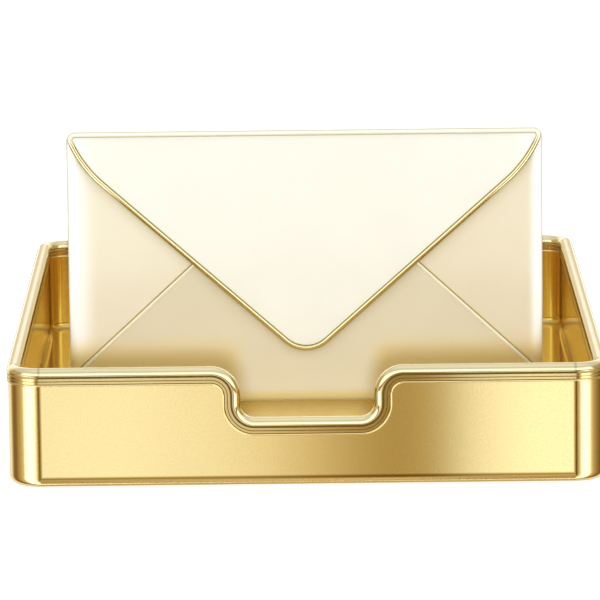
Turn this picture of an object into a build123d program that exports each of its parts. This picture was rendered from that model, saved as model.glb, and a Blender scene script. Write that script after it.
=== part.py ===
"""Gold desk tray with a rolled rim and finger notch, holding one thick standing envelope.

Millimetres. Origin on the desk, under the middle of the tray. +Z up, the notched front faces -Y.
"""

import math
import os

from build123d import *

os.makedirs("parts", exist_ok=True)

# Tray plan and walls
tray_width = 263.0  # across the outer shell, left to right
tray_depth = 331.0  # front to back
corner_radius = 14.0  # outer vertical corners
wall_thickness = 5.1  # outer face to inner face of the double wall
shell_sheet = 1.2
pan_sheet = 1.2
foot_radius = 3.8  # rolled foot edge of the outer shell
foot_flange = 12.0  # width of the flange turned in under the tray
cove_radius = 2.6  # inner floor-to-wall cove

# Tray heights above the desk
pad_proud = 0.8  # the shell stands this far above the desk
floor_height = 10.4  # top of the inner floor
rim_height = 51.0  # centre of the rolled rim

# Rim moulding
rim_radius = 3.3
rim_lip_proud = 0.4  # the lip under the bead stands out from each wall face
rim_lip_drop = 4.1  # lower edge of the lip below the rim's centre
rim_seat = 1.2  # the sheets' top edges end this far below the rim's centre

# Finger notch in the front wall, measured on the rim's centre line
notch_half_width = 32.7
notch_depth = 23.2
notch_radius = 9.5
notch_cut_reach = 28.5  # the sheets are cut down this far past the notch's sides

# Underside
plate_sheet = 1.2
plate_clearance = 2.8  # base plate edge to the shell's inner face
pad_diameter = 16.0
pad_inset = 26.5  # pad centres in from the tray's sides and ends
screw_shank = 3.0
screw_head = 5.6
screw_head_height = 1.1
screw_reach = 4.0  # into the spacer
screw_slot = 0.9
screw_slot_depth = 0.5
standoff_diameter = 8.0
standoff_inset_x = 46.0
standoff_inset_y = 50.0
thread_clearance = 0.05

# Channel that the envelope stands in
channel_end_inset = 13.5  # from the envelope's side
channel_web = 1.2
channel_lip = 1.4
channel_lip_round = 0.6
channel_front_height = 5.4  # above the inner floor
channel_back_height = 26.0
rivet_shank = 3.0
rivet_head = 5.2
rivet_tail_height = 0.9
rivet_count = 3
rivet_end_inset = 25.0  # outer rivets from the channel's ends

# Envelope
envelope_width = 217.0
envelope_thickness = 10.0
envelope_setback = 114.7  # tray's front face to the envelope's front face
envelope_side_radius = 4.8
envelope_edge_radius = 3.0  # top and bottom edges
hinge_height = 140.0  # axis of the top piping, above the desk
hinge_above_block = 0.5  # the axis lies this far above the envelope's top
channel_side_gap = 0.4
channel_floor_gap = 0.2
front_layer = 3.6  # thickness of the front flaps
pocket_depth = 2.8
pocket_margin = 8.0
top_band = 7.0  # the back's full-thickness top edge, below the hinge axis
throat_half_width = 60.0
layer_overcut = 1.0  # the block is cut this far past its faces
letter_thickness = 2.2
letter_clearance = 0.3

# Seams between the side flaps and the bottom flap
seam_apex_drop = 13.8  # below the hinge axis
seam_angle = 42.6  # degrees from level
seam_radius = 1.1
seam_sunk = 0.5  # the piping's centre behind the front face
seam_start = 1.5  # from the middle
seam_end_inset = 3.5  # from the envelope's side

# Top flap, measured on its piping's centre line
piping_radius = 1.3
flap_standoff = 2.2  # piping centre in front of the envelope's front face
flap_side_inset = 0.8  # piping's centre inside the envelope's side
flap_angle = 41.5  # straight edges, degrees from level
shoulder_angle = 66.5  # steep edges from the flap's top corners to its shoulders
shoulder_inset = 6.3  # shoulders from the flap's sides
flap_tip_radius = 14.0
shoulder_radius = 56.0
flap_corner_radius = 2.2
flap_panel = 1.2
flap_panel_gap = 1.2  # panel's back to the envelope's front face
flap_panel_inset = 0.4  # panel's edge inside the piping's centre line

# Hinge strip
hinge_gap = 0.3
hinge_strip = 0.7
hinge_strip_end_inset = 10.5  # from the envelope's side
hinge_strip_below = 6.5
hinge_strip_above = 0.8

# Derived places
shell_bottom = pad_proud
sheet_top = rim_height - rim_seat
plate_bottom = shell_bottom + shell_sheet
plate_top = plate_bottom + plate_sheet
pan_underside = floor_height - pan_sheet
pan_outset = wall_thickness - pan_sheet
half_wall = wall_thickness / 2
front_y = -tray_depth / 2
face_y = front_y + envelope_setback
back_y = face_y + envelope_thickness
envelope_mid_y = face_y + envelope_thickness / 2
envelope_bottom = floor_height + channel_web + channel_floor_gap
envelope_top = hinge_height - hinge_above_block
envelope_height = envelope_top - envelope_bottom
hinge_y = face_y - flap_standoff
layer_y = face_y + front_layer
band_bottom = hinge_height - top_band
seam_apex = hinge_height - seam_apex_drop
seam_slope = math.tan(math.radians(seam_angle))
seam_end = envelope_width / 2 - seam_end_inset
flap_half_width = envelope_width / 2 - flap_side_inset
flap_rise = math.tan(math.radians(flap_angle))
shoulder_x = flap_half_width - shoulder_inset
shoulder_drop = shoulder_inset * math.tan(math.radians(shoulder_angle))
flap_drop = shoulder_drop + shoulder_x * flap_rise
hinge_strip_length = envelope_width - 2 * hinge_strip_end_inset
channel_length = envelope_width - 2 * channel_end_inset
rivet_pitch = (channel_length - 2 * rivet_end_inset) / (rivet_count - 1)
rivet_taper = math.degrees(math.atan((rivet_head - rivet_shank) / 2 / channel_web))


def rounded_block(width, depth, corner, bottom, top, edge_radius):
    """A block with rounded vertical corners and a rounded bottom edge."""
    with BuildPart() as block:
        with BuildSketch(Plane.XY.offset(bottom)):
            RectangleRounded(width, depth, corner)
        extrude(amount=top - bottom)
        fillet(block.faces().sort_by(Axis.Z)[0].edges(), edge_radius)
    return block.part


def notch_opening(drop):
    """The space over the notch, down to the rim's centre line moved by drop into the wall."""
    side = notch_half_width + drop
    shoulder = notch_half_width + notch_cut_reach
    level = rim_height - drop
    above = rim_height + 2 * rim_radius
    with BuildSketch(Plane.XZ.offset(-front_y + rim_radius)) as opening:
        with BuildLine():
            FilletPolyline(
                (-shoulder, level),
                (-side, level),
                (-side, level - notch_depth),
                (side, level - notch_depth),
                (side, level),
                (shoulder, level),
                radius=[notch_radius - drop, notch_radius + drop, notch_radius + drop, notch_radius - drop],
            )
            Polyline((shoulder, level), (shoulder, above), (-shoulder, above), (-shoulder, level))
        make_face()
    return opening.sketch


def flap_outline():
    """The top flap's outline on its piping's centre line, in the plane of the hinge axis."""
    shoulder_z = hinge_height - shoulder_drop
    with BuildLine(Plane.XZ.offset(-hinge_y)) as outline:
        FilletPolyline(
            (-flap_half_width, hinge_height),
            (-shoulder_x, shoulder_z),
            (0, hinge_height - flap_drop),
            (shoulder_x, shoulder_z),
            (flap_half_width, hinge_height),
            radius=[
                flap_corner_radius,
                shoulder_radius,
                flap_tip_radius,
                shoulder_radius,
                flap_corner_radius,
            ],
            close=True,
        )
    return outline.line


def seam_tube(side):
    """Straight piping along one seam; side is -1 for left and 1 for right."""
    start = Vector(side * seam_start, face_y + seam_sunk, seam_apex - seam_start * seam_slope)
    end = Vector(side * seam_end, face_y + seam_sunk, seam_apex - seam_end * seam_slope)
    with BuildPart() as tube:
        with BuildSketch(Plane(origin=start, z_dir=end - start)):
            Circle(seam_radius)
        extrude(amount=(end - start).length)
    return tube.part


def front_layer_piece(outline_points):
    """The part of the envelope's front layer inside an outline of X and Z points."""
    with BuildPart() as piece:
        with BuildSketch(Plane.XZ.offset(-layer_y)):
            with BuildLine():
                Polyline(*outline_points, close=True)
            make_face()
        extrude(amount=front_layer + layer_overcut)
        add(envelope_block, mode=Mode.INTERSECT)
        add(seam_left, mode=Mode.SUBTRACT)
        add(seam_right, mode=Mode.SUBTRACT)
    return piece.part


# Outer shell: one band with rounded corners, a rolled foot and a flange turned in under it
shell_outside = rounded_block(
    tray_width, tray_depth, corner_radius, shell_bottom, sheet_top, foot_radius
)
shell_inside = rounded_block(
    tray_width - 2 * shell_sheet,
    tray_depth - 2 * shell_sheet,
    corner_radius - shell_sheet,
    plate_bottom,
    sheet_top + rim_seat,
    foot_radius - shell_sheet,
)
with BuildPart() as outer_shell:
    add(shell_outside)
    add(shell_inside, mode=Mode.SUBTRACT)
    with BuildSketch(Plane.XY.offset(shell_bottom)):
        RectangleRounded(
            tray_width - 2 * foot_flange, tray_depth - 2 * foot_flange, corner_radius / 2
        )
    extrude(amount=shell_sheet, mode=Mode.SUBTRACT)
    extrude(notch_opening(rim_seat), amount=-(wall_thickness + rim_radius), mode=Mode.SUBTRACT)
outer_shell.part.label = "outer_shell"

# Rivets that hold the channel to the floor
with BuildPart() as channel_rivets:
    with BuildSketch(Plane.XY.offset(pan_underside)):
        with Locations((0, envelope_mid_y)):
            with GridLocations(rivet_pitch, 0, rivet_count, 1):
                Circle(rivet_shank / 2)
    extrude(amount=pan_sheet + channel_web)
    with BuildSketch(Plane.XY.offset(floor_height + channel_web)):
        with Locations((0, envelope_mid_y)):
            with GridLocations(rivet_pitch, 0, rivet_count, 1):
                Circle(rivet_head / 2)
    extrude(amount=-channel_web, taper=rivet_taper)
    with BuildSketch(Plane.XY.offset(pan_underside)):
        with Locations((0, envelope_mid_y)):
            with GridLocations(rivet_pitch, 0, rivet_count, 1):
                Circle(rivet_head / 2)
    extrude(amount=-rivet_tail_height)
channel_rivets.part.label = "channel_rivets"

# Inner pan: the liner, with its floor raised over the base
pan_outside = rounded_block(
    tray_width - 2 * pan_outset,
    tray_depth - 2 * pan_outset,
    corner_radius - pan_outset,
    pan_underside,
    sheet_top,
    cove_radius + pan_sheet,
)
pan_inside = rounded_block(
    tray_width - 2 * wall_thickness,
    tray_depth - 2 * wall_thickness,
    corner_radius - wall_thickness,
    floor_height,
    sheet_top + rim_seat,
    cove_radius,
)
with BuildPart() as inner_pan:
    add(pan_outside)
    add(pan_inside, mode=Mode.SUBTRACT)
    extrude(notch_opening(rim_seat), amount=-(wall_thickness + rim_radius), mode=Mode.SUBTRACT)
    add(channel_rivets.part, mode=Mode.SUBTRACT)
inner_pan.part.label = "inner_pan"

# Rim moulding: round bead with a lip each side, swept round the top edge and down into the notch
rim_x = tray_width / 2 - half_wall
rim_y = tray_depth / 2 - half_wall
rim_corner = corner_radius - half_wall
notch_floor = rim_height - notch_depth
with BuildPart() as rim_moulding:
    with BuildLine() as rim_path:
        FilletPolyline(
            (-rim_x, rim_y, rim_height),
            (-rim_x, -rim_y, rim_height),
            (-notch_half_width, -rim_y, rim_height),
            (-notch_half_width, -rim_y, notch_floor),
            (notch_half_width, -rim_y, notch_floor),
            (notch_half_width, -rim_y, rim_height),
            (rim_x, -rim_y, rim_height),
            (rim_x, rim_y, rim_height),
            radius=[rim_corner, rim_corner] + [notch_radius] * 4 + [rim_corner, rim_corner],
            close=True,
        )
    rim_tangent = rim_path.line % 0
    across_rim = Vector(0, 0, 1).cross(rim_tangent)
    with BuildSketch(Plane(origin=rim_path.line @ 0, x_dir=across_rim, z_dir=rim_tangent)):
        Circle(rim_radius)
        with Locations((0, -rim_lip_drop / 2)):
            Rectangle(wall_thickness + 2 * rim_lip_proud, rim_lip_drop)
    sweep(path=rim_path.line)
    add(outer_shell.part, mode=Mode.SUBTRACT)
    add(inner_pan.part, mode=Mode.SUBTRACT)
rim_moulding.part.label = "rim_moulding"

# Base plate, screws and spacers
standoff_x = tray_width - 2 * standoff_inset_x
standoff_y = tray_depth - 2 * standoff_inset_y
with BuildPart() as base_plate:
    with BuildSketch(Plane.XY.offset(plate_bottom)):
        RectangleRounded(
            tray_width - 2 * (shell_sheet + plate_clearance),
            tray_depth - 2 * (shell_sheet + plate_clearance),
            corner_radius - shell_sheet - plate_clearance,
        )
        with GridLocations(standoff_x, standoff_y, 2, 2):
            Circle(screw_shank / 2 + thread_clearance, mode=Mode.SUBTRACT)
    extrude(amount=plate_sheet)
base_plate.part.label = "base_plate"

with BuildPart() as pan_standoffs:
    with BuildSketch(Plane.XY.offset(plate_top)):
        with GridLocations(standoff_x, standoff_y, 2, 2):
            Circle(standoff_diameter / 2)
    extrude(amount=pan_underside - plate_top)
    with BuildSketch(Plane.XY.offset(plate_top)):
        with GridLocations(standoff_x, standoff_y, 2, 2):
            Circle(screw_shank / 2 + thread_clearance)
    extrude(amount=screw_reach + thread_clearance, mode=Mode.SUBTRACT)
pan_standoffs.part.label = "pan_standoffs"

with BuildPart() as base_screws:
    with BuildSketch(Plane.XY.offset(plate_bottom - screw_head_height)):
        with GridLocations(standoff_x, standoff_y, 2, 2):
            Circle(screw_head / 2)
    extrude(amount=screw_head_height)
    with BuildSketch(Plane.XY.offset(plate_bottom)):
        with GridLocations(standoff_x, standoff_y, 2, 2):
            Circle(screw_shank / 2)
    extrude(amount=plate_sheet + screw_reach)
    with BuildSketch(Plane.XY.offset(plate_bottom - screw_head_height)):
        with GridLocations(standoff_x, standoff_y, 2, 2):
            Rectangle(screw_head, screw_slot)
    extrude(amount=screw_slot_depth, mode=Mode.SUBTRACT)
base_screws.part.label = "base_screws"

# Foot pads under the base plate
pads = []
for end_name, end in (("front", -1), ("rear", 1)):
    for side_name, side in (("left", -1), ("right", 1)):
        pad_x = side * (tray_width / 2 - pad_inset)
        pad_y = end * (tray_depth / 2 - pad_inset)
        with BuildPart() as foot_pad:
            with BuildSketch(Plane.XY):
                with Locations((pad_x, pad_y)):
                    Circle(pad_diameter / 2)
            extrude(amount=plate_bottom)
            fillet(foot_pad.faces().sort_by(Axis.Z)[0].edges(), pad_proud / 2)
        foot_pad.part.label = "foot_pad_" + end_name + "_" + side_name
        pads.append(foot_pad.part)

# Channel: low lip in front of the envelope, taller rest behind it
channel_front = face_y - channel_side_gap
channel_back = back_y + channel_side_gap
web_top = floor_height + channel_web
with BuildPart() as letter_channel:
    with BuildSketch(Plane.YZ.offset(-channel_length / 2)) as channel_profile:
        with BuildLine():
            Polyline(
                (channel_front - channel_lip, floor_height),
                (channel_front - channel_lip, floor_height + channel_front_height),
                (channel_front, floor_height + channel_front_height),
                (channel_front, web_top),
                (channel_back, web_top),
                (channel_back, floor_height + channel_back_height),
                (channel_back + channel_lip, floor_height + channel_back_height),
                (channel_back + channel_lip, floor_height),
                close=True,
            )
        make_face()
        above_web = (web_top + channel_lip, floor_height + channel_back_height + channel_lip)
        fillet(channel_profile.vertices().filter_by_position(Axis.Z, *above_web), channel_lip_round)
    extrude(amount=channel_length)
    add(channel_rivets.part, mode=Mode.SUBTRACT)
letter_channel.part.label = "letter_channel"

# Envelope block: the whole thick envelope, from which its layers are cut
with BuildPart() as whole_envelope:
    with BuildSketch(Plane.XY.offset(envelope_bottom)):
        with Locations((0, envelope_mid_y)):
            RectangleRounded(envelope_width, envelope_thickness, envelope_side_radius)
    extrude(amount=envelope_height)
    fillet(whole_envelope.faces().sort_by(Axis.Z)[0].edges(), envelope_edge_radius)
    fillet(whole_envelope.faces().sort_by(Axis.Z)[-1].edges(), envelope_edge_radius)
envelope_block = whole_envelope.part

# Seam piping, set half into the front layer
seam_left = seam_tube(-1)
seam_right = seam_tube(1)
seam_left.label = "seam_piping_left"
seam_right.label = "seam_piping_right"

# Back of the envelope: back panel, full-thickness top edge and the pocket's recess
pocket_width = envelope_width - 2 * pocket_margin
pocket_bottom = envelope_bottom + pocket_margin
with BuildPart() as envelope_back:
    add(envelope_block)
    with BuildSketch(Plane.XZ.offset(-layer_y)):
        with Locations((0, (band_bottom + envelope_bottom - layer_overcut) / 2)):
            Rectangle(
                envelope_width + 2 * layer_overcut, band_bottom - envelope_bottom + layer_overcut
            )
    extrude(amount=front_layer + layer_overcut, mode=Mode.SUBTRACT)
    with BuildSketch(Plane.XZ.offset(-layer_y)):
        with Locations((0, (band_bottom + pocket_bottom) / 2)):
            Rectangle(pocket_width, band_bottom - pocket_bottom)
    extrude(amount=-pocket_depth, mode=Mode.SUBTRACT)
envelope_back.part.label = "envelope_back"

# Letter in the pocket
with BuildPart() as letter:
    with BuildSketch(Plane.XZ.offset(-layer_y - letter_clearance)):
        with Locations((0, (band_bottom + pocket_bottom) / 2)):
            Rectangle(
                pocket_width - 2 * letter_clearance,
                band_bottom - pocket_bottom - 2 * letter_clearance,
            )
    extrude(amount=-letter_thickness)
letter.part.label = "letter"

# Front flaps: their edges follow the two seams
beyond = envelope_width
seam_side_z = seam_apex - beyond * seam_slope
side_flap_left = front_layer_piece(
    [(-beyond, band_bottom), (-throat_half_width, band_bottom), (0, seam_apex), (-beyond, seam_side_z)]
)
side_flap_right = front_layer_piece(
    [(beyond, band_bottom), (throat_half_width, band_bottom), (0, seam_apex), (beyond, seam_side_z)]
)
bottom_flap = front_layer_piece([(0, seam_apex), (beyond, seam_side_z), (-beyond, seam_side_z)])
side_flap_left.label = "side_flap_left"
side_flap_right.label = "side_flap_right"
bottom_flap.label = "bottom_flap"

# Strip that carries the flap's top piping
with BuildPart() as flap_hinge_strip:
    with BuildSketch(Plane.YZ.offset(-hinge_strip_length / 2)):
        with Locations(
            (face_y - hinge_strip / 2, hinge_height + (hinge_strip_above - hinge_strip_below) / 2)
        ):
            Rectangle(hinge_strip, hinge_strip_below + hinge_strip_above)
        with Locations((hinge_y, hinge_height)):
            Circle(piping_radius + hinge_gap, mode=Mode.SUBTRACT)
    extrude(amount=hinge_strip_length)
flap_hinge_strip.part.label = "flap_hinge_strip"

# Piping round the top flap
piping_path = flap_outline()
with BuildPart() as flap_piping:
    with BuildSketch(Plane(origin=piping_path @ 0, z_dir=piping_path % 0)):
        Circle(piping_radius)
    sweep(path=piping_path)
flap_piping.part.label = "flap_piping"

# Top flap panel, held inside its piping
with BuildPart() as top_flap:
    with BuildSketch(Plane.XZ.offset(-(face_y - flap_panel_gap))):
        with BuildLine():
            add(flap_outline().moved(Location((0, flap_standoff - flap_panel_gap, 0))))
        make_face()
        offset(amount=-flap_panel_inset)
    extrude(amount=flap_panel)
    add(flap_piping.part, mode=Mode.SUBTRACT)
top_flap.part.label = "top_flap"

pieces = [
    outer_shell.part,
    inner_pan.part,
    rim_moulding.part,
    base_plate.part,
    pan_standoffs.part,
    base_screws.part,
    letter_channel.part,
    channel_rivets.part,
    envelope_back.part,
    side_flap_left,
    side_flap_right,
    bottom_flap,
    seam_left,
    seam_right,
    flap_hinge_strip.part,
    letter.part,
    top_flap.part,
    flap_piping.part,
]
for piece in pieces + pads:
    export_step(piece, "parts/" + piece.label + ".step")
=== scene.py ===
import math

import bpy
from mathutils import Matrix, Quaternion, Vector


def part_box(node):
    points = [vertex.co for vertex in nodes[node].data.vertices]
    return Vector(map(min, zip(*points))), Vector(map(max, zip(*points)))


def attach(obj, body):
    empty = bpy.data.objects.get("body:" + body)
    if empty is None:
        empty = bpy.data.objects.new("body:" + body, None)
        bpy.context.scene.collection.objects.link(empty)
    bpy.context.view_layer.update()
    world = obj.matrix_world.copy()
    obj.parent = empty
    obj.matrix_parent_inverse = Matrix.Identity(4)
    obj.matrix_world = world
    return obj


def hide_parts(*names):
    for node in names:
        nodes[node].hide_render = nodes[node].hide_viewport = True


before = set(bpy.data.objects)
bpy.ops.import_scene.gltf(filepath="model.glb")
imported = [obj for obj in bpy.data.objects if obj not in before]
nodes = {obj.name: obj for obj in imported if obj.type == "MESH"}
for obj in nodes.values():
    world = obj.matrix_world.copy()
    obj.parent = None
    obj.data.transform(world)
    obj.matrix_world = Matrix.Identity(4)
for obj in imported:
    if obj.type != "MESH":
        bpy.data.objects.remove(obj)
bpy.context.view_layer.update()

# Lengths are in metres, angles in degrees and colours linear, unless a comment says otherwise. A pair
# named ..._FROM, ..._REACH or ..._RISE holds the places where a soft change starts and where it is full.

# Camera: far away and slightly above, with a trace of roll
CAMERA_PLACE = (-0.0027, -2.5248, 0.5216)
CAMERA_PITCH = 10.519  # down from level
CAMERA_ROLL = 0.645  # level lines rise to the right
CAMERA_LENS = 330.0  # millimetres
CAMERA_SENSOR = 36.0  # millimetres
CAMERA_SIGHT = 20.0  # it draws nothing farther off

# Rim moulding
RIM_BEAD = 0.0033  # radius of the round bead
RIM_LIP = 0.00295  # the lips' faces, from the rim's centre line
RIM_WALL = 0.00255  # the walls' faces, from the rim's centre line
RIM_RELIEF = 0.0001  # the bands stand out of the lips' faces by this, and the lines sink into them
RIM_FOOT = 0.00045  # radius of the lips' rolled foot
RIM_FOOT_INSET = 0.0003  # its centre inside the lips' faces
RIM_TUCK = 0.0004  # the profile ends this far inside the walls' faces
RIM_CORNER = 0.01145  # radius of the centre line at the tray's corners
RIM_SETTLED = 0.00035  # the bead sits this much lower than the box of the CAD piece allows
NOTCH_HALF_WIDTH = 0.0327
NOTCH_DEPTH = 0.02285
NOTCH_RADIUS = 0.0095
CORNER_STEPS = 20
BEAD_STEPS = 24
FOOT_STEPS = 8
SATIN, LIP, POLISHED, CREASE = range(4)  # its material slots; between two points the higher one counts

# Tray edges where a flat face meets a rounded one, from the middle and from the desk
FACE_X = 0.1175
FACE_Y = 0.1515
FACE_Z = 0.0046
EDGE_REFLECTION_REACH = (0.0013, 0.0001)  # a painted dark reflection along these edges of the shell, to each side
JOINT_REACH = (0.0010, 0.0001)  # a joint line across the rim where its corners start
JOINT_DEPTH = 0.4  # how much of the gold it hides
CREASE_SHADE_FADE_FROM = (0.0, 0.002)  # past these edges the painted shade in the rim's creases gives way to band gold
CREASE_SHADE_FADED = 0.75  # how much of that painted shade is gone there

# Studio. Brightness 1 is white. Azimuth: 0 in front, negative to the left, 180 behind. Rise: 0 is level
AMBIENT_RING = [
    (-180, 1.1), (-110, 1.65), (-75, 1.65), (-50, 0.86), (50, 0.86), (75, 1.65), (110, 1.65), (180, 1.1),
]
AMBIENT_COLOUR = (1.0, 0.98, 0.92)
WALL_RING = [
    (-180, 0.9), (-138, 1.0), (-121, 0.42), (-114, 0.22), (-101, 0.24), (-86, 0.46), (-67, 0.7),
    (-60, 1.4), (-52, 2.3), (-28, 2.3), (-21, 1.6), (-14, 0.5), (-4, 0.3), (-2, 0.85), (2, 0.85),
    (4, 0.3), (12, 0.3), (17, 0.6), (24, 1.5), (30, 2.2), (48, 2.2), (56, 1.5), (63, 0.85),
    (72, 0.52), (91, 0.32), (102, 0.21), (114, 0.22), (121, 0.42), (138, 1.0), (180, 0.9),
]
WALL_PEAK = 2.5  # brighter than any stop; a ramp's colours are scaled down by it
BELT_RING = [
    (-180, 1.1), (-150, 1.1), (-115, 0.5), (-75, 0.5), (-55, 1.45), (55, 1.45), (75, 0.45), (115, 0.45),
    (150, 1.0), (180, 1.1),
]
BELT_RISE = (-5, 6)  # a belt of windows takes over from the walls
RAIL = 0.35  # a dark rail across the front
RAIL_MIDDLE = -1.0
RAIL_REACH = (6.5, 4.5)  # above and below its middle
RAIL_SIDE_REACH = (0.2, 0.15)  # to each side of the front, in turns
BACK_BANDS = [
    (-12, 0.55), (-6.5, 0.55), (-4.5, 1.25), (-0.5, 1.25), (2, 0.8), (8.5, 0.78), (11, 1.1), (24, 1.1),
]
BACK_REACH = (0.45, 0.462)  # straight behind, in turns from the front
CEILING = 0.68
CEILING_RISE = (27, 46)
ZENITH = 0.88
ZENITH_RISE = (48, 85)
AHEAD = 0.5  # a direction's azimuth and height run from 0 to 1, with the front and the level here
WARM_BELOW = 1.05  # metal sees the studio browner below this brightness
WARM_SPAN = 0.17  # and at its brownest this much lower
WARM_GREEN = (0.12, 0.6)  # green lost at the brownest, and the least share of it that stays
WARM_BLUE = (0.31, 0.27)
FRONT_LAMP = 1.62
FRONT_LAMP_COLOUR = (0.94, 0.975, 1.0)
FRONT_LAMP_RISE = 8.0
FRONT_LAMP_SIZE = 5.0
FLOOR_SIZE = 12
FLOOR_COLOUR = 0.35  # as the object sees it
FLOOR_SHADE = 0.4  # as the camera sees it: the part that takes the shadow
FLOOR_GLOW = 0.76  # and the part that doesn't
CARD_PLACE = (0.0, -0.45, -0.08)
CARD_SIZE = (0.30, 0.20)
CARD_GLOW = [
    (0, 1.1), (0.2, 1.09), (0.32, 1.02), (0.42, 0.945), (0.49, 0.785), (0.57, 0.56), (0.64, 0.42),
    (0.7, 0.47), (0.79, 1.06), (0.88, 1.3), (1, 1.35),
]

# Gold
GOLD_SATIN = (0.99, 0.81, 0.395)
GOLD_BAND = (0.76, 0.60, 0.27)
GOLD_POLISHED = (0.96, 0.85, 0.52)
# painted shade, with some grime, in the rim's creases; the rim's joint lines use this dark gold too
GOLD_CREASE = (0.25, 0.155, 0.025)
# painted dark reflection along the shell's face edges; no line is cut there
GOLD_EDGE_REFLECTION = (0.34, 0.205, 0.03)
GOLD_DEEP = (0.76, 0.61, 0.28)
# painted shade: the pan's walls deeper and darker than its floor
GOLD_PAN_WALL_SHADE = (0.86, 0.59, 0.12)
GOLD_CHANNEL = (0.75, 0.61, 0.31)
PAN_WALL_SHADE_FROM = (0.0108, 0.0125)  # height where the painted wall shade starts and where it is full

# Piping
GOLD_PIPING = (0.94, 0.83, 0.48)
# painted shade along the piping's upper and lower edges
PIPING_EDGE_SHADE = (0.33, 0.28, 0.09)
PIPING_EDGE_SHADE_FROM = (0.92, 0.6)  # how squarely it faces the front
# painted highlight along the top of the piping, which faces up to the light
PIPING_TOP_HIGHLIGHT = (0.96, 0.94, 0.84)
PIPING_TOP_EDGE_SHADE = (0.58, 0.55, 0.40)
PIPING_HIGHLIGHT_FROM = (0.134, 0.139)  # height
PIPING_HIGHLIGHT_DEPTH = 0.88  # how much of the gold the painted highlight hides
PIPING_HIGHLIGHT_DULLED = 0.85  # how much of the metal the painted highlight takes away
SEAM_CREAM = (1.0, 0.98, 0.84)
# painted shade on the seam cord: olive along its upper side, brown along its underside
SEAM_TOP_SHADE = (0.38, 0.29, 0.06)
SEAM_TOP_SHADE_FROM = (0.05, 0.35)  # how far the surface faces up
SEAM_UNDER_SHADE = (0.66, 0.53, 0.33)
SEAM_UNDER_SHADE_FROM = (-0.62, -0.8)

# Envelope
# the flaps are lit and shaded copies of one pearl: the top flap painted lighter, the right side flap and
# the bottom flap painted darker
PEARL_FLAP_LIT = (0.99, 0.99, 0.92)
PEARL_LEFT = (0.99, 0.935, 0.76)
PEARL_RIGHT_SHADED = (0.94, 0.865, 0.68)
PEARL_BACK = (0.96, 0.93, 0.84)
PEARL_BOTTOM_SHADED = (0.89, 0.825, 0.64)
PEARL_METALLIC = 0.35
PEARL_FLAP_METALLIC = 0.25
# painted highlight on the envelope's rounded sides
PEARL_EDGE_HIGHLIGHT = (1.0, 0.99, 0.96)
PEARL_EDGE_HIGHLIGHT_FROM = (0.094, 0.106)  # from the middle
PEARL_RIGHT_EDGE_HIGHLIGHT_FROM = (0.101, 0.106)
PEARL_OUTLINE_SHADE = (0.50, 0.48, 0.36)  # painted dark outline along the outermost part of the folds, as shade at the envelope's edge
PEARL_OUTLINE_SHADE_FROM = (0.1078, 0.1083)
# painted shade in crevices and under the flap's edges, where the sky is shut out
PEARL_CREVICE_SHADE = (0.58, 0.48, 0.20)
FLAP_CREVICE_SHADE = (0.80, 0.76, 0.60)
CREVICE_SIGHT = 0.006  # how far it looks for a surface that shuts out the sky
CREVICE_FROM = (0.95, 0.3)  # share of open sky
PEARL_TRAY_SHADOW_GOLD = (0.90, 0.755, 0.38)  # painted shadow of the tray's front wall, tinted with the tray's reflected gold, on the part of the envelope that stands in it
TRAY_SHADOW_TOP_FROM = (0.049, 0.034)  # height
TRAY_SHADOW_FOOT_FROM = (0.0215, 0.0175)  # height, behind the open notch
TRAY_SHADOW_BESIDE_FROM = (0.026, 0.037)  # the notch's sides, from the middle

# Hidden pieces
PAPER_WHITE = (0.88, 0.86, 0.80)
RUBBER_BLACK = (0.03, 0.03, 0.03)
STEEL_GREY = (0.62, 0.61, 0.58)

NOISE_MIDDLE = (0.3, 0.7)  # almost all of a noise lies between these


# ---------------------------------------------------------------- shader nodes


def add_node(tree, kind, inputs=(), **settings):
    """A node with its settings, its inputs linked where a socket is given and set where a value is."""
    node = tree.nodes.new("ShaderNode" + kind)
    for name, value in settings.items():
        setattr(node, name, value)
    for name, value in dict(inputs).items():
        if isinstance(value, bpy.types.NodeSocket):
            tree.links.new(value, node.inputs[name])
        else:
            node.inputs[name].default_value = value
    return node


def math_node(tree, operation, first, second=0.0):
    return add_node(tree, "Math", {0: first, 1: second}, operation=operation).outputs[0]


def mix_colour(tree, factor, first, second):
    inputs = {"Factor": factor, "A": first, "B": second}
    return add_node(tree, "Mix", inputs, data_type="RGBA").outputs["Result"]


def fade(tree, value, start, end):
    """A smooth mask: 0 where the value is at start, 1 where it is at end."""
    limits = {"Value": value, "From Min": start, "From Max": end}
    return add_node(tree, "MapRange", limits, interpolation_type="SMOOTHSTEP").outputs["Result"]


def new_material(name):
    """A material and its node tree."""
    material = bpy.data.materials.new(name)
    material.use_nodes = True
    return material, material.node_tree


def shade(colour, factor):
    """The colour made darker or lighter by one factor."""
    return tuple(min(1.0, channel * factor) for channel in colour)


# ---------------------------------------------------------------- materials


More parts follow.
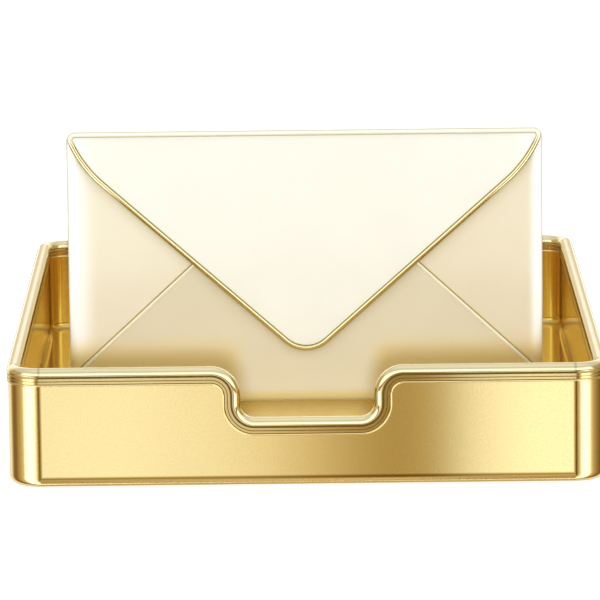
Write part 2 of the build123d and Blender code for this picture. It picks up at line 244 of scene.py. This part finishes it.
class Shader:
    """A Principled material with short ways to add the textures and masks that vary it."""

    def __init__(self, name, colour, metallic, roughness):
        self.material, self.tree = new_material(name)
        self.shader = self.tree.nodes["Principled BSDF"]
        self.set(Base_Color=(*colour, 1), Metallic=metallic, Roughness=roughness)
        self.place = add_node(self.tree, "TexCoord").outputs["Object"]
        self.relief = None

    def set(self, **sockets):
        """Plain values on the shader's own sockets; an underscore in a name is a space."""
        for name, value in sockets.items():
            self.shader.inputs[name.replace("_", " ")].default_value = value
        return self

    def link(self, socket, name):
        self.tree.links.new(socket, self.shader.inputs[name])
        return self

    def along(self, axis):
        """The place along one axis."""
        return add_node(self.tree, "SeparateXYZ", {0: self.place}).outputs[axis]

    def facing(self, axis):
        """How squarely the surface faces along one axis, from -1 to 1."""
        normal = add_node(self.tree, "TexCoord").outputs["Normal"]
        return add_node(self.tree, "SeparateXYZ", {0: normal}).outputs[axis]

    def past_faces(self):
        """How far a place lies past the tray's flat faces, in X and in Y; negative within them."""
        return [
            math_node(self.tree, "SUBTRACT", math_node(self.tree, "ABSOLUTE", self.along(axis)), edge)
            for axis, edge in (("X", FACE_X), ("Y", FACE_Y))
        ]

    def noise(self, size, detail=3.0, stretch=(1, 1, 1)):
        """Noise whose largest feature is about size metres, stretched along the axes."""
        scale = tuple(1 / axis for axis in stretch)
        place = add_node(self.tree, "Mapping", {"Vector": self.place, "Scale": scale}).outputs["Vector"]
        inputs = {"Vector": place, "Scale": 1 / size, "Detail": detail}
        return add_node(self.tree, "TexNoise", inputs).outputs["Fac"]

    def spread(self, value, low, high):
        """Maps a 0 to 1 texture to low..high, with its middle values stretched apart."""
        start, end = NOISE_MIDDLE
        inputs = {"Value": value, "From Min": start, "From Max": end, "To Min": low, "To Max": high}
        return add_node(self.tree, "MapRange", inputs).outputs["Result"]

    def vary_roughness(self, size, low, high):
        return self.link(self.spread(self.noise(size), low, high), "Roughness")

    def vary_colour(self, colour, size, factor):
        """Patches of the colour and of the same colour shaded by the factor."""
        patches = self.spread(self.noise(size), 0, 1)
        varied = mix_colour(self.tree, patches, (*colour, 1), (*shade(colour, factor), 1))
        return self.link(varied, "Base Color")

    # lays the thing's own tones, and painted light and shade as well
    def lay_colour(self, mask, colour):
        """Lays a colour over the varied one where the mask is 1."""
        clean = self.shader.inputs["Base Color"].links[0].from_socket
        return self.link(mix_colour(self.tree, mask, clean, (*colour, 1)), "Base Color")

    def bump(self, size, depth, stretch=(1, 1, 1)):
        """Bump of the given size and depth; several are laid over each other."""
        inputs = {"Distance": depth, "Height": self.noise(size, detail=2.0, stretch=stretch)}
        if self.relief:
            inputs["Normal"] = self.relief
        self.relief = add_node(self.tree, "Bump", inputs).outputs["Normal"]
        return self.link(self.relief, "Normal")


def gold_satin(name, colour):
    """Satin gold with a fine grain."""
    gold = Shader(name, colour, metallic=1, roughness=0.15)
    gold.vary_colour(colour, size=0.05, factor=0.98)
    grain = gold.spread(gold.noise(size=0.0009), low=0.0, high=0.5)
    gold.lay_colour(grain, shade(colour, factor=0.86))
    gold.vary_roughness(size=0.0006, low=0.10, high=0.17)
    return gold.bump(size=0.0005, depth=0.000008)


def gold_shell():
    """Satin gold with a painted dark reflection along the edges of each flat face."""
    gold = gold_satin("gold_shell", GOLD_SATIN)
    below = math_node(gold.tree, "SUBTRACT", FACE_Z, gold.along("Z"))
    away = [
        math_node(gold.tree, "ABSOLUTE", math_node(gold.tree, "MAXIMUM", past, below))
        for past in gold.past_faces()
    ]
    # painted dark reflection along the edges of the flat faces
    line = fade(gold.tree, math_node(gold.tree, "MINIMUM", *away), *EDGE_REFLECTION_REACH)
    return gold.lay_colour(line, GOLD_EDGE_REFLECTION).material


def gold_polished():
    """Polished gold, with fine joint lines where the rim's straight runs meet its corners."""
    gold = Shader("gold_polished", GOLD_POLISHED, metallic=1, roughness=0.08)
    gold.vary_colour(GOLD_POLISHED, size=0.03, factor=0.96)
    away = [math_node(gold.tree, "ABSOLUTE", past) for past in gold.past_faces()]
    joint = fade(gold.tree, math_node(gold.tree, "MINIMUM", *away), *JOINT_REACH)
    gold.lay_colour(math_node(gold.tree, "MULTIPLY", joint, JOINT_DEPTH), GOLD_CREASE)
    gold.vary_roughness(size=0.004, low=0.06, high=0.12)
    return gold.bump(size=0.012, depth=0.00002).material


def gold_crease_shade():
    """Painted shade, with some grime, in the rim's creases, fading to band gold round the tray's corners.
    """
    gold = Shader("gold_crease_shade", GOLD_CREASE, metallic=0.8, roughness=0.45)
    gold.vary_colour(GOLD_CREASE, size=0.002, factor=0.7)
    # the painted crease shade fades out round the corners
    corner = fade(gold.tree, math_node(gold.tree, "MINIMUM", *gold.past_faces()), *CREASE_SHADE_FADE_FROM)
    gold.lay_colour(math_node(gold.tree, "MULTIPLY", corner, CREASE_SHADE_FADED), GOLD_BAND)
    return gold.bump(size=0.0006, depth=0.00001).material


def gold_deep():
    """The pan's gold, with painted shade making its walls deeper and darker, and fine upright darker
    streaks there.
    """
    gold = Shader("gold_deep", GOLD_DEEP, metallic=0.93, roughness=0.12)
    gold.vary_colour(GOLD_DEEP, size=0.04, factor=0.94)
    # painted shade on the pan's walls, by height
    wall = fade(gold.tree, gold.along("Z"), *PAN_WALL_SHADE_FROM)
    gold.lay_colour(wall, GOLD_PAN_WALL_SHADE)
    streaks = gold.spread(gold.noise(size=0.003, stretch=(1, 1, 60)), low=0.0, high=0.6)
    streaks = math_node(gold.tree, "MULTIPLY", streaks, wall)
    gold.lay_colour(streaks, shade(GOLD_PAN_WALL_SHADE, factor=0.72))
    gold.vary_roughness(size=0.001, low=0.09, high=0.15)
    return gold.bump(size=0.0006, depth=0.000004).material


def seam_piping():
    """The seams' cord: cream lacquer, with a painted olive shade line along its upper side and a thin
    painted brown shade below.
    """
    cord = Shader("piping_seam", SEAM_CREAM, metallic=0.15, roughness=0.3)
    cord.vary_colour(SEAM_CREAM, size=0.01, factor=0.97)
    cord.bump(size=0.004, depth=0.00001)
    upward = cord.facing("Z")
    # painted shade on the cord's underside and upper side
    cord.lay_colour(fade(cord.tree, upward, *SEAM_UNDER_SHADE_FROM), SEAM_UNDER_SHADE)
    return cord.lay_colour(fade(cord.tree, upward, *SEAM_TOP_SHADE_FROM), SEAM_TOP_SHADE).material


def flap_piping():
    """The flap's piping: polished gold, with a painted highlight along its top at the hinge and painted
    shade along its edges.
    """
    gold = Shader("piping_flap", GOLD_PIPING, metallic=1, roughness=0.15)
    gold.vary_colour(GOLD_PIPING, size=0.01, factor=0.95)
    gold.vary_roughness(size=0.003, low=0.12, high=0.2)
    gold.bump(size=0.006, depth=0.00001)
    squarely = math_node(gold.tree, "ABSOLUTE", gold.facing("Y"))
    # painted shade on the edges, where the cord turns away from the front
    edges = fade(gold.tree, squarely, *PIPING_EDGE_SHADE_FROM)
    # painted highlight along the top at the hinge
    hinge = fade(gold.tree, gold.along("Z"), *PIPING_HIGHLIGHT_FROM)
    dulled = math_node(gold.tree, "MULTIPLY", hinge, PIPING_HIGHLIGHT_DULLED)
    gold.link(math_node(gold.tree, "SUBTRACT", 1.0, dulled), "Metallic")
    gold.lay_colour(edges, PIPING_EDGE_SHADE)
    gold.lay_colour(math_node(gold.tree, "MULTIPLY", hinge, PIPING_HIGHLIGHT_DEPTH), PIPING_TOP_HIGHLIGHT)
    return gold.lay_colour(math_node(gold.tree, "MULTIPLY", hinge, edges), PIPING_TOP_EDGE_SHADE).material


def pearl(name, colour, metallic=PEARL_METALLIC, crevice_shade=PEARL_CREVICE_SHADE, highlight_from=PEARL_EDGE_HIGHLIGHT_FROM):
    """Pearl lacquer: less metallic on the rounded sides, with a painted highlight on them and a painted
    dark outline on their outermost part, a painted shadow of the tray's wall tinted with its reflected
    gold where the envelope stands in the tray, and painted brown shade in crevices."""
    lacquer = Shader(name, colour, metallic, roughness=0.36)
    tree = lacquer.tree
    lacquer.vary_colour(colour, size=0.02, factor=0.975)
    side = math_node(tree, "ABSOLUTE", lacquer.along("X"))
    rounded = fade(tree, side, *highlight_from)
    # painted highlight on the rounded sides, and a painted dark outline at their edge
    lacquer.lay_colour(rounded, PEARL_EDGE_HIGHLIGHT)
    lacquer.lay_colour(fade(tree, side, *PEARL_OUTLINE_SHADE_FROM), PEARL_OUTLINE_SHADE)
    flat = math_node(tree, "SUBTRACT", 1.0, rounded)
    lacquer.link(math_node(tree, "MULTIPLY", flat, metallic), "Metallic")
    # painted shadow of the tray's front wall with its reflected gold, following the notch
    height = lacquer.along("Z")
    beside_notch = fade(tree, side, *TRAY_SHADOW_BESIDE_FROM)
    behind_wall = math_node(tree, "MULTIPLY", fade(tree, height, *TRAY_SHADOW_TOP_FROM), beside_notch)
    tray_shadow = math_node(tree, "MAXIMUM", behind_wall, fade(tree, height, *TRAY_SHADOW_FOOT_FROM))
    lacquer.lay_colour(tray_shadow, PEARL_TRAY_SHADOW_GOLD)
    # painted shade where nearby surfaces shut out the sky
    open_sky = add_node(tree, "AmbientOcclusion", {"Distance": CREVICE_SIGHT}, samples=4).outputs["AO"]
    lacquer.lay_colour(fade(tree, open_sky, *CREVICE_FROM), crevice_shade)
    lacquer.vary_roughness(size=0.002, low=0.32, high=0.4)
    lacquer.bump(size=0.0004, depth=0.000006)
    lacquer.bump(size=0.003, depth=0.000012)
    return lacquer.set(Coat_Weight=0.15, Coat_Roughness=0.12).material


def letter_paper():
    paper = Shader("letter_paper", PAPER_WHITE, metallic=0, roughness=0.7)
    paper.vary_colour(PAPER_WHITE, size=0.004, factor=0.95)
    paper.bump(size=0.0005, depth=0.00002)
    return paper.bump(size=0.001, depth=0.00002, stretch=(40, 1, 1)).material


def pad_rubber():
    rubber = Shader("pad_rubber", RUBBER_BLACK, metallic=0, roughness=0.8)
    rubber.vary_roughness(size=0.002, low=0.7, high=0.9)
    return rubber.bump(size=0.0004, depth=0.00004).material


def steel():
    metal = Shader("steel", STEEL_GREY, metallic=1, roughness=0.32)
    metal.vary_roughness(size=0.0008, low=0.25, high=0.4)
    return metal.bump(size=0.0004, depth=0.00001).material


def dress(material, *names):
    """Gives CAD nodes one material."""
    for name in names:
        mesh = nodes[name].data
        mesh.materials.clear()
        mesh.materials.append(material)


def dress_nodes():
    dress(gold_shell(), "outer_shell", "base_plate")
    dress(gold_deep(), "inner_pan")
    dress(gold_satin("gold_channel", GOLD_CHANNEL).material, "letter_channel")
    dress(gold_polished(), "rim_moulding", "channel_rivets")
    dress(seam_piping(), "seam_piping_left", "seam_piping_right")
    dress(flap_piping(), "flap_piping")
    # painted light and shade: each flap gets its own lit or shaded pearl
    dress(
        pearl("pearl_flap_lit", PEARL_FLAP_LIT, metallic=PEARL_FLAP_METALLIC, crevice_shade=FLAP_CREVICE_SHADE),
        "top_flap", "flap_hinge_strip",
    )
    dress(pearl("pearl_left", PEARL_LEFT), "side_flap_left")
    dress(pearl("pearl_right_shaded", PEARL_RIGHT_SHADED, highlight_from=PEARL_RIGHT_EDGE_HIGHLIGHT_FROM), "side_flap_right")
    dress(pearl("pearl_back", PEARL_BACK), "envelope_back")
    dress(pearl("pearl_bottom_shaded", PEARL_BOTTOM_SHADED), "bottom_flap")
    dress(letter_paper(), "letter")
    dress(pad_rubber(), *(name for name in nodes if name.startswith("foot_pad")))
    dress(steel(), "base_screws", "pan_standoffs")


# ---------------------------------------------------------------- rim moulding


def rounded_path(corners, arc_steps):
    """A closed path through (point, radius) corners, each rounded by a tangent arc."""
    path = []
    for index, (point, radius) in enumerate(corners):
        before = (corners[index - 1][0] - point).normalized()
        after = (corners[(index + 1) % len(corners)][0] - point).normalized()
        half = before.angle(after) / 2
        centre = point + (before + after).normalized() * (radius / math.sin(half))
        start = point + before * (radius / math.tan(half)) - centre
        axis = before.cross(after)
        for step in range(arc_steps + 1):
            turn = Quaternion(axis, -(math.pi - 2 * half) * step / arc_steps)
            path.append(centre + turn @ start)
    return path


def carried_frames(path, outward):
    """For each point of a closed path, its outward and up directions, carried along without twist."""
    frames = []
    tangent = None
    for index in range(len(path)):
        ahead = (path[(index + 1) % len(path)] - path[index - 1]).normalized()
        if tangent:
            outward = tangent.rotation_difference(ahead) @ outward
        tangent = ahead
        frames.append((outward.copy(), outward.cross(tangent).normalized()))
    return frames


def arc_points(centre, radius, start, end, steps):
    """Points of an arc, its angles counted from straight out, up being positive."""
    angles = [math.radians(start + (end - start) * step / steps) for step in range(steps + 1)]
    return [(centre[0] + radius * math.cos(a), centre[1] + radius * math.sin(a)) for a in angles]


def rim_path():
    """The rim's centre line round the tray and through the notch, set by the CAD piece's box."""
    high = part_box("rim_moulding")[1]
    side = high.x - RIM_BEAD
    end = high.y - RIM_BEAD
    level = high.z - RIM_BEAD - RIM_SETTLED
    floor = level - NOTCH_DEPTH
    corners = [
        (Vector((-side, end, level)), RIM_CORNER),
        (Vector((-side, -end, level)), RIM_CORNER),
        (Vector((-NOTCH_HALF_WIDTH, -end, level)), NOTCH_RADIUS),
        (Vector((-NOTCH_HALF_WIDTH, -end, floor)), NOTCH_RADIUS),
        (Vector((NOTCH_HALF_WIDTH, -end, floor)), NOTCH_RADIUS),
        (Vector((NOTCH_HALF_WIDTH, -end, level)), NOTCH_RADIUS),
        (Vector((side, -end, level)), RIM_CORNER),
        (Vector((side, end, level)), RIM_CORNER),
    ]
    return rounded_path(corners, CORNER_STEPS)


def rim_profile():
    """Half of the rim's section from the top out and down: runs of (out, rise) points by material."""
    band = RIM_LIP + RIM_RELIEF
    line = RIM_LIP - RIM_RELIEF
    groove = RIM_WALL + RIM_RELIEF
    foot = (RIM_LIP - RIM_FOOT_INSET, -0.00412)
    return [
        (POLISHED, arc_points((0, 0), RIM_BEAD, start=90, end=-1, steps=BEAD_STEPS)),
        (CREASE, [(band, -0.0001), (groove, -0.00025), (groove, -0.00082), (band, -0.00097)]),  # groove
        (SATIN, [(band, -0.00104), (band, -0.0021)]),  # upper band
        (CREASE, [(line, -0.00217), (line, -0.00238)]),
        (SATIN, [(band, -0.00245), (band, -0.00343)]),  # lower band
        (CREASE, [(line, -0.0035), (line, -0.00359)]),
        (LIP, arc_points(foot, RIM_FOOT, start=40, end=-70, steps=FOOT_STEPS)),
        (CREASE, [(RIM_WALL - RIM_TUCK, -0.00462)]),  # tucked in behind the wall's face
    ]


def rim_section():
    """The rim's whole section, as (material, (out, rise)) points: the profile and its mirror image."""
    half = [(kind, point) for kind, run in rim_profile() for point in run]
    return half + [(kind, (-out, rise)) for kind, (out, rise) in reversed(half[1:])]


def swept_mesh(name, path, outward, section, materials):
    """The section swept along a closed path, smooth round the curves and sharp where materials meet."""
    count = len(section)
    points = []
    for point, (out_way, up_way) in zip(path, carried_frames(path, outward)):
        points += [point + out_way * out + up_way * rise for _, (out, rise) in section]
    faces = []
    for station in range(len(path)):
        here, there = station * count, (station + 1) % len(path) * count
        for place in range(count):
            beside = (place + 1) % count
            faces.append((here + place, there + place, there + beside, here + beside))
    mesh = bpy.data.meshes.new(name)
    mesh.from_pydata(points, [], faces)
    mesh.polygons.foreach_set("use_smooth", [True] * len(faces))
    for material in materials:
        mesh.materials.append(material)
    kinds = [max(section[place][0], section[(place + 1) % count][0]) for place in range(count)]
    mesh.polygons.foreach_set("material_index", kinds * len(path))
    sharp = [
        kind == SATIN or kind != section[place - 1][0] or kind != section[(place + 1) % count][0]
        for place, (kind, _) in enumerate(section)
    ]
    creased = []
    for edge in mesh.edges:
        first, second = (vertex % count for vertex in edge.vertices)
        creased.append(first == second and sharp[first])
    mesh.attributes.new("sharp_edge", "BOOLEAN", "EDGE").data.foreach_set("value", creased)
    return mesh


def rim_bead():
    gold_band = gold_satin("gold_band", GOLD_BAND).material
    gold_lip = gold_satin("gold_lip", GOLD_SATIN).material
    materials = (gold_band, gold_lip, gold_polished(), gold_crease_shade())
    mesh = swept_mesh("rim_bead", rim_path(), Vector((0, 1, 0)), rim_section(), materials)
    piece = bpy.data.objects.new("rim_bead", mesh)
    bpy.context.scene.collection.objects.link(piece)
    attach(piece, "tray")
    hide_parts("rim_moulding")


# ---------------------------------------------------------------- studio


def studio_camera():
    data = bpy.data.cameras.new("camera")
    data.lens = CAMERA_LENS
    data.sensor_width = CAMERA_SENSOR
    data.clip_end = CAMERA_SIGHT
    camera = bpy.data.objects.new("camera", data)
    tilt = Matrix.Rotation(math.radians(90 - CAMERA_PITCH), 4, "X")
    roll = Matrix.Rotation(math.radians(-CAMERA_ROLL), 4, "Z")
    camera.matrix_world = Matrix.Translation(CAMERA_PLACE) @ tilt @ roll
    bpy.context.scene.collection.objects.link(camera)
    bpy.context.scene.camera = camera


def warm(brightness):
    """Brightness as a colour: the dimmer, the browner, as in a room with wooden furniture."""
    dim = max(0, min(1, (WARM_BELOW - brightness) / WARM_SPAN))
    dyed = (max(brightness - lost * dim, least * brightness) for lost, least in (WARM_GREEN, WARM_BLUE))
    return brightness, *dyed


def plain(brightness):
    return (brightness,) * 3


def stops(tree, value, places, tone):
    """A smooth curve of colour through (place, brightness) stops; the places run from 0 to 1."""
    ramp = add_node(tree, "ValToRGB", {0: value})
    ramp.color_ramp.interpolation = "EASE"
    elements = ramp.color_ramp.elements
    while len(elements) < len(places):
        elements.new(0.5)
    for element, (place, brightness) in zip(elements, places):
        element.position = place
        element.color = (*(channel / WALL_PEAK for channel in tone(brightness)), 1)
    inputs = {0: ramp.outputs["Color"], "Scale": WALL_PEAK}
    return add_node(tree, "VectorMath", inputs, operation="SCALE").outputs[0]


def studio_floor():
    """White in the picture, with the object's soft shadow; metal sees the studio walls past it."""
    bpy.ops.mesh.primitive_plane_add(size=FLOOR_SIZE)
    floor = bpy.context.object
    floor.name = "floor"
    material, tree = new_material("floor_white")
    shader = tree.nodes["Principled BSDF"]
    shader.inputs["Base Color"].default_value = (*plain(FLOOR_COLOUR), 1)
    shader.inputs["Roughness"].default_value = 1
    seen = add_node(tree, "LightPath").outputs["Is Camera Ray"]
    lit = add_node(tree, "BsdfDiffuse", {"Color": (*plain(FLOOR_SHADE), 1)})
    glow = add_node(tree, "Emission", {"Strength": FLOOR_GLOW})
    shown = add_node(tree, "AddShader", {0: lit.outputs[0], 1: glow.outputs[0]})
    either = add_node(tree, "MixShader", {0: seen, 1: shader.outputs[0], 2: shown.outputs[0]})
    tree.links.new(either.outputs[0], tree.nodes["Material Output"].inputs["Surface"])
    floor.data.materials.append(material)
    floor.visible_glossy = False


def front_card():
    """A card that only metal and gloss see, lit along its width; it stands facing the tray."""
    bpy.ops.mesh.primitive_plane_add(size=1, location=CARD_PLACE, rotation=(math.radians(-90), 0, 0))
    card = bpy.context.object
    card.name = "front_card"
    card.scale = (*CARD_SIZE, 1)
    material, tree = new_material("front_card")
    across = add_node(tree, "TexCoord").outputs["Generated"]
    across = add_node(tree, "SeparateXYZ", {0: across}).outputs["X"]
    glow = add_node(tree, "Emission", {"Color": stops(tree, across, CARD_GLOW, warm)})
    tree.links.new(glow.outputs[0], tree.nodes["Material Output"].inputs["Surface"])
    card.data.materials.append(material)
    card.visible_camera = False
    card.visible_diffuse = False
    card.visible_transmission = False
    card.visible_shadow = False


def ring(tree, azimuth, places, tone):
    """Brightness round the horizon, through (degrees, brightness) stops."""
    return stops(tree, azimuth, [(angle / 360 + AHEAD, level) for angle, level in places], tone)


def metal_view(tree, azimuth, rise):
    """What metal and gloss see: walls with windows, a dark rail in front, bands behind, a ceiling."""
    turned = math_node(tree, "ABSOLUTE", math_node(tree, "SUBTRACT", azimuth, AHEAD))
    off_rail = math_node(tree, "ABSOLUTE", math_node(tree, "SUBTRACT", rise, RAIL_MIDDLE))
    in_front = fade(tree, turned, *RAIL_SIDE_REACH)
    rail = math_node(tree, "MULTIPLY", fade(tree, off_rail, *RAIL_REACH), in_front)
    height = math_node(tree, "ADD", math_node(tree, "DIVIDE", rise, 180.0), AHEAD)
    bands = stops(tree, height, [(angle / 180 + AHEAD, level) for angle, level in BACK_BANDS], warm)
    view = ring(tree, azimuth, WALL_RING, warm)
    for mask, colour in (
        (fade(tree, rise, *BELT_RISE), ring(tree, azimuth, BELT_RING, warm)),
        (rail, (*warm(RAIL), 1)),
        (fade(tree, turned, *BACK_REACH), bands),
        (fade(tree, rise, *CEILING_RISE), (*plain(CEILING), 1)),
        (fade(tree, rise, *ZENITH_RISE), (*plain(ZENITH), 1)),
    ):
        view = mix_colour(tree, mask, view, colour)
    return view


def studio_world():
    """White in the picture, plain ambient light on the object, and the studio's walls in metal."""
    world = bpy.data.worlds.new("studio")
    world.use_nodes = True
    tree = world.node_tree
    direction = add_node(tree, "TexCoord").outputs["Generated"]
    parts = add_node(tree, "SeparateXYZ", {0: direction}).outputs
    forward = math_node(tree, "MULTIPLY", parts["Y"], -1.0)
    azimuth = math_node(tree, "ARCTAN2", parts["X"], forward)
    azimuth = math_node(tree, "ADD", math_node(tree, "DIVIDE", azimuth, math.tau), AHEAD)
    rise = math_node(tree, "DEGREES", math_node(tree, "ARCSINE", parts["Z"]))
    inputs = {0: ring(tree, azimuth, AMBIENT_RING, plain), 1: AMBIENT_COLOUR}
    ambient = add_node(tree, "VectorMath", inputs, operation="MULTIPLY").outputs[0]
    paths = add_node(tree, "LightPath").outputs
    level = mix_colour(tree, paths["Is Glossy Ray"], ambient, metal_view(tree, azimuth, rise))
    in_picture = math_node(tree, "MAXIMUM", paths["Is Camera Ray"], paths["Is Transmission Ray"])
    level = mix_colour(tree, in_picture, level, (*plain(1.0), 1))
    tree.links.new(level, tree.nodes["Background"].inputs["Color"])
    bpy.context.scene.world = world


def front_lamp():
    """A soft low sun from the front, which the tray's wall keeps off the envelope's foot. Metal doesn't
    see it, as it would draw a hard white line on every bead."""
    light = bpy.data.lights.new("low_front", "SUN")
    light.energy = FRONT_LAMP
    light.color = FRONT_LAMP_COLOUR
    light.angle = math.radians(FRONT_LAMP_SIZE)
    lamp = bpy.data.objects.new("low_front", light)
    lamp.rotation_euler = (math.radians(90 - FRONT_LAMP_RISE), 0, 0)
    lamp.visible_glossy = False
    bpy.context.scene.collection.objects.link(lamp)


studio_camera()
studio_floor()
studio_world()
front_lamp()
front_card()
dress_nodes()
rim_bead()

bpy.context.scene.view_settings.view_transform = "Standard"
